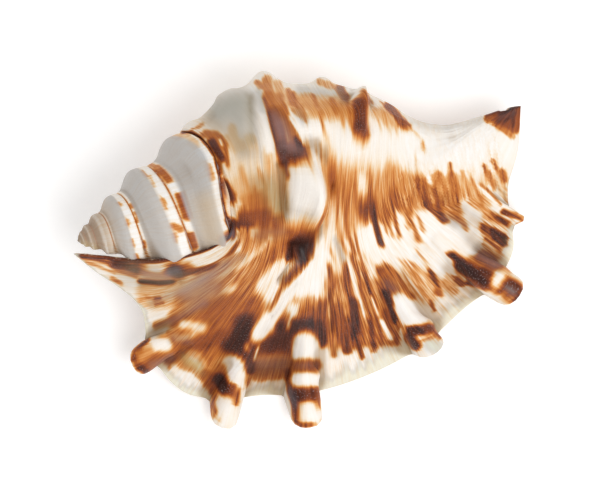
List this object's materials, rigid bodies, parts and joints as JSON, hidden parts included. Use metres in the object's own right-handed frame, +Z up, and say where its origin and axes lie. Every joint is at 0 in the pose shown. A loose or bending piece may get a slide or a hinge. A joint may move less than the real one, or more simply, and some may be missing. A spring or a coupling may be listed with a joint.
{
  "type": "spider conch shell",
  "caption": "Half-grown spider conch seashell: stepped spire, knobbed body whorl and a flared outer lip with short open fingers, lying mouth down.",
  "frame": {"origin": "on the surface the shell rests on, under the middle of its outline", "axes": "+X from the pointed apex towards the siphonal canal, +Y away from the flared outer lip, +Z up"},
  "size_m": [0.141, 0.1068, 0.0537],
  "materials": {
    "shell": "natural shell, satin to glossy; cream and white with orange-brown to dark brown streaks and blotches"
  },
  "bodies": {
    "root": {"shell": "shell"}
  },
  "joints": []
}
